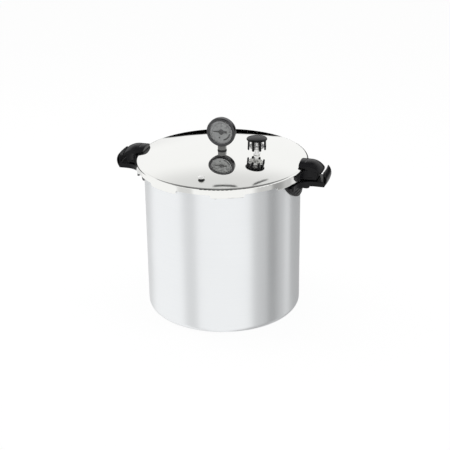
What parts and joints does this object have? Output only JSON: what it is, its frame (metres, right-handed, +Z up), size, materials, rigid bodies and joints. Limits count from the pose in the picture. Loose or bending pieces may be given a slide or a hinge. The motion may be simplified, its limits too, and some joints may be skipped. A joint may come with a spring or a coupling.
{
  "type": "pressure canner",
  "caption": "Tall aluminium pressure canner with a domed bayonet cover, dial gauge, weight regulator, air vent lock, moulded side handles and a perforated rack inside.",
  "frame": {"origin": "centre of the pot's underside, on the surface it stands on", "axes": "+Z up along the pot's axis; X runs through both handles; the gauge's dial faces -Y; the regulator is on +X"},
  "size_m": [0.428, 0.336, 0.3909],
  "materials": {
    "pot": "satin, brushed round the pot",
    "cover": "polished mirror",
    "rack": "mill finish",
    "phenolic": "black moulded, soft gloss",
    "steel": "plated",
    "bright": "bright turned metal",
    "seal": "black rubber",
    "case": "black enamel",
    "bezel": "darkened steel",
    "dial": "pale grey, matt print",
    "pointer": "black, matt",
    "lens": "clear",
    "movement": "machined",
    "tube": "drawn bronze"
  },
  "bodies": {
    "pot": {"canner_body": "pot", "body_handle_left": "phenolic", "body_handle_right": "phenolic", "body_bracket_left": "steel", "body_bracket_right": "steel", "body_handle_screws": "steel", "lock_bracket": "steel", "lock_bracket_screw": "steel", "lock_bracket_nut": "steel"},
    "rack": {"canning_rack": "rack"},
    "cover": {"cover": "cover", "sealing_ring": "seal", "cover_handle_left": "phenolic", "cover_handle_right": "phenolic", "cover_bracket_left": "steel", "cover_bracket_right": "steel", "cover_handle_screws": "steel", "overpressure_plug": "seal", "air_vent_grommet": "seal", "vent_pipe": "bright", "vent_pipe_nut": "steel", "gauge_stem": "steel", "gauge_gasket": "seal", "gauge_nut": "steel", "gauge_case": "case", "gauge_bezel": "bezel", "gauge_lens": "lens", "gauge_dial": "dial", "bourdon_tube": "tube", "movement_front_plate": "movement", "movement_back_plate": "movement", "movement_pillars": "movement"},
    "air_vent": {"air_vent_pin": "bright"},
    "regulator": {"regulator_cap": "phenolic", "regulator_weight": "bright"},
    "sector": {"sector_gear": "movement"},
    "link": {"gauge_link": "movement"},
    "pointer": {"gauge_pointer": "pointer", "pinion": "movement"}
  },
  "joints": [
    {"name": "cover_turn", "type": "hinge", "parent": "pot", "child": "cover", "pos_m": [0, 0, 0.3], "axis": [0, 0, 1], "range_deg": [0, 22.5]},
    {"name": "rack_lift", "type": "slide", "parent": "pot", "child": "rack", "axis": [0, 0, 1], "range_m": [0, 0.26]},
    {"name": "air_vent_rise", "type": "slide", "parent": "cover", "child": "air_vent", "axis": [0, 0, 1], "range_m": [0, 0.0045]},
    {"name": "regulator_lift", "type": "slide", "parent": "cover", "child": "regulator", "axis": [0, 0, 1], "range_m": [0, 0.02]},
    {"name": "sector_turn", "type": "hinge", "parent": "cover", "child": "sector", "pos_m": [0.01043, 0, 0.35001], "axis": [0, -1, 0], "range_deg": [0, 28], "stiffness_Nm_per_rad": 0.02, "springref_deg": -17.19},
    {"name": "link_turn", "type": "hinge", "parent": "sector", "child": "link", "pos_m": [0.01393, 0, 0.34395], "axis": [0, -1, 0], "range_deg": [-28, 0]},
    {"name": "pointer_turn", "type": "hinge", "parent": "cover", "child": "pointer", "pos_m": [0, 0, 0.36243], "axis": [0, -1, 0], "range_deg": [-224, 0]}
  ],
  "couplings": [
    {"joint": "pointer_turn", "follows": "sector_turn", "ratio": -8},
    {"joint": "link_turn", "follows": "sector_turn", "ratio": -1}
  ]
}
